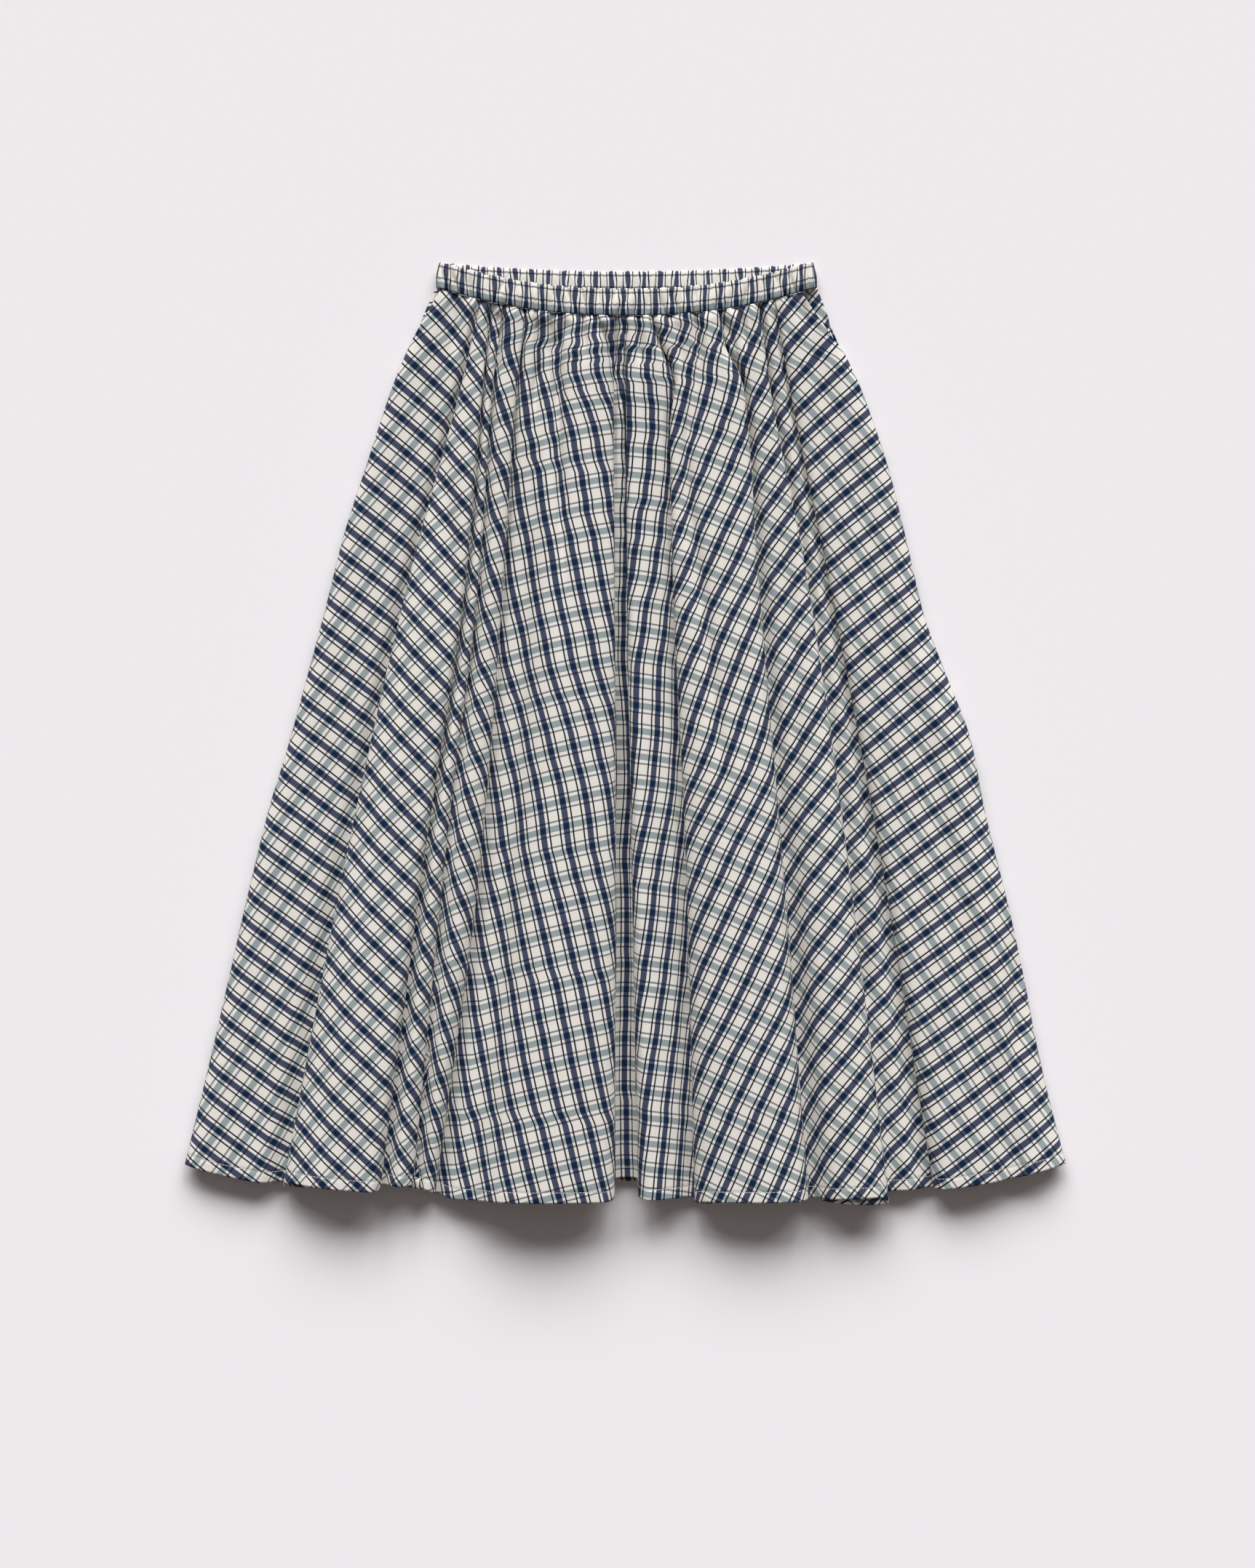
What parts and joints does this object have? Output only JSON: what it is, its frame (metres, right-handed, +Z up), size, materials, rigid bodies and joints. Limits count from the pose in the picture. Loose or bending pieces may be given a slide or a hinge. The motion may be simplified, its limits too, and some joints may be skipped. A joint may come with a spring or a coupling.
{
  "type": "gathered midi skirt",
  "caption": "Flared midi skirt in woven check, gathered onto an elastic waistband, with slanted side pockets, laid flat with its front up",
  "frame": {"origin": "middle of the skirt's footprint, on the surface it lies on", "axes": "+Y runs from the hem to the waist, +Z up from the surface out of the front, +X across the skirt to the right as seen from above with the waist at the top"},
  "size_m": [0.8112, 0.8622, 0.0425],
  "materials": {
    "front_cloth": "soft woven matt",
    "back_cloth": "soft woven matt",
    "band_cloth": "soft woven matt",
    "facing_cloth": "soft woven matt"
  },
  "bodies": {
    "root": {"front_panel": "front_cloth", "back_panel": "back_cloth", "waistband": "band_cloth", "pocket_left": "facing_cloth", "pocket_right": "facing_cloth"}
  },
  "joints": []
}
